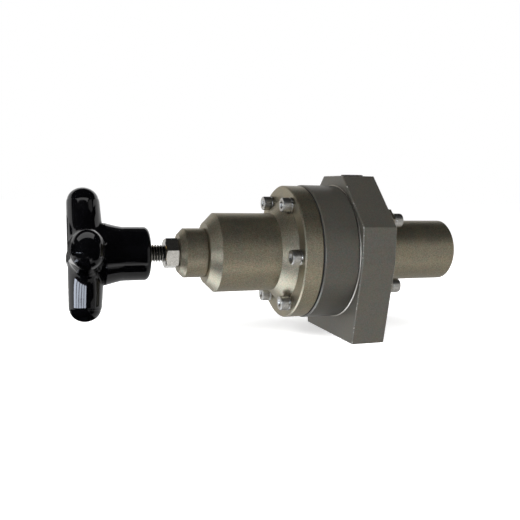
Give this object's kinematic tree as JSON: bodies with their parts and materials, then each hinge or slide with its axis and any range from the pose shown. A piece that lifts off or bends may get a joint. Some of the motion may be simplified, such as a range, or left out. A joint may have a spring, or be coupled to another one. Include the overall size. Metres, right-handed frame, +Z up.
{
  "type": "pressure regulator valve",
  "caption": "Spring-loaded diaphragm pressure regulator with a black four-lobed knob, lock nut, turned bonnet, eight-sided port plate and rear cap.",
  "frame": {"origin": "centre of the outlet port's mouth, on the base face of the port plate", "axes": "+X along the valve axis from the knob to the rear cap, +Z up from the base face, -Y towards the picture's viewer"},
  "size_m": [0.1928, 0.0696, 0.0811],
  "materials": {
    "bronze_anodised": "hard-anodised, fine matte speckle",
    "grey_anodised": "dark grey hard-anodised, satin",
    "zinc_steel": "bright zinc plate",
    "turned_steel": "turned",
    "spring_steel": "oiled",
    "brass": "turned",
    "black_plastic": "high gloss",
    "rubber": "matt",
    "seat_plastic": "machined",
    "red_fibre": "pressed fibre"
  },
  "bodies": {
    "housing": {"port_plate": "grey_anodised", "diaphragm_body": "grey_anodised", "stem_guide": "brass", "diaphragm": "rubber", "spring_bonnet": "bronze_anodised", "neck_bush": "bronze_anodised", "valve_seat": "brass", "guide_bush": "brass", "return_spring": "spring_steel", "range_spring": "spring_steel", "rear_cap": "bronze_anodised", "body_o_ring": "rubber", "cap_o_ring": "rubber", "plug_washer": "red_fibre", "port_plug": "turned_steel", "bonnet_lock_washers": "zinc_steel", "bonnet_screws": "zinc_steel", "cap_lock_washers": "zinc_steel", "cap_screws": "zinc_steel"},
    "spring_seat": {"upper_spring_seat": "turned_steel"},
    "knob": {"cross_knob": "black_plastic", "knob_insert": "brass", "adjusting_screw": "zinc_steel"},
    "lock_nut": {"lock_nut": "zinc_steel"},
    "diaphragm_centre": {"lower_spring_seat": "turned_steel", "pressure_plate": "turned_steel"},
    "poppet": {"poppet": "turned_steel", "soft_seat": "seat_plastic"}
  },
  "joints": [
    {"name": "screw_advance", "type": "slide", "parent": "housing", "child": "spring_seat", "axis": [1, 0, 0], "range_m": [-0.00125, 0.005], "deforming": ["range_spring"]},
    {"name": "knob_turn", "type": "hinge", "parent": "spring_seat", "child": "knob", "pos_m": [-0.121, 0, 0.0425], "axis": [1, 0, 0], "range_deg": [-360, 1440]},
    {"name": "lock_nut_turn", "type": "hinge", "parent": "housing", "child": "lock_nut", "pos_m": [-0.091, 0, 0.0425], "axis": [1, 0, 0], "range_deg": [-180, 0]},
    {"name": "diaphragm_stroke", "type": "slide", "parent": "housing", "child": "diaphragm_centre", "axis": [1, 0, 0], "range_m": [0, 0.0015], "stiffness_N_per_m": 1500, "deforming": ["diaphragm", "range_spring"]},
    {"name": "poppet_lift", "type": "slide", "parent": "housing", "child": "poppet", "axis": [1, 0, 0], "range_m": [0, 0.0015], "deforming": ["return_spring"]}
  ],
  "couplings": [
    {"joint": "screw_advance", "follows": "knob_turn", "m_per_rad": 0.00019894},
    {"joint": "poppet_lift", "follows": "diaphragm_stroke", "ratio": 1}
  ]
}
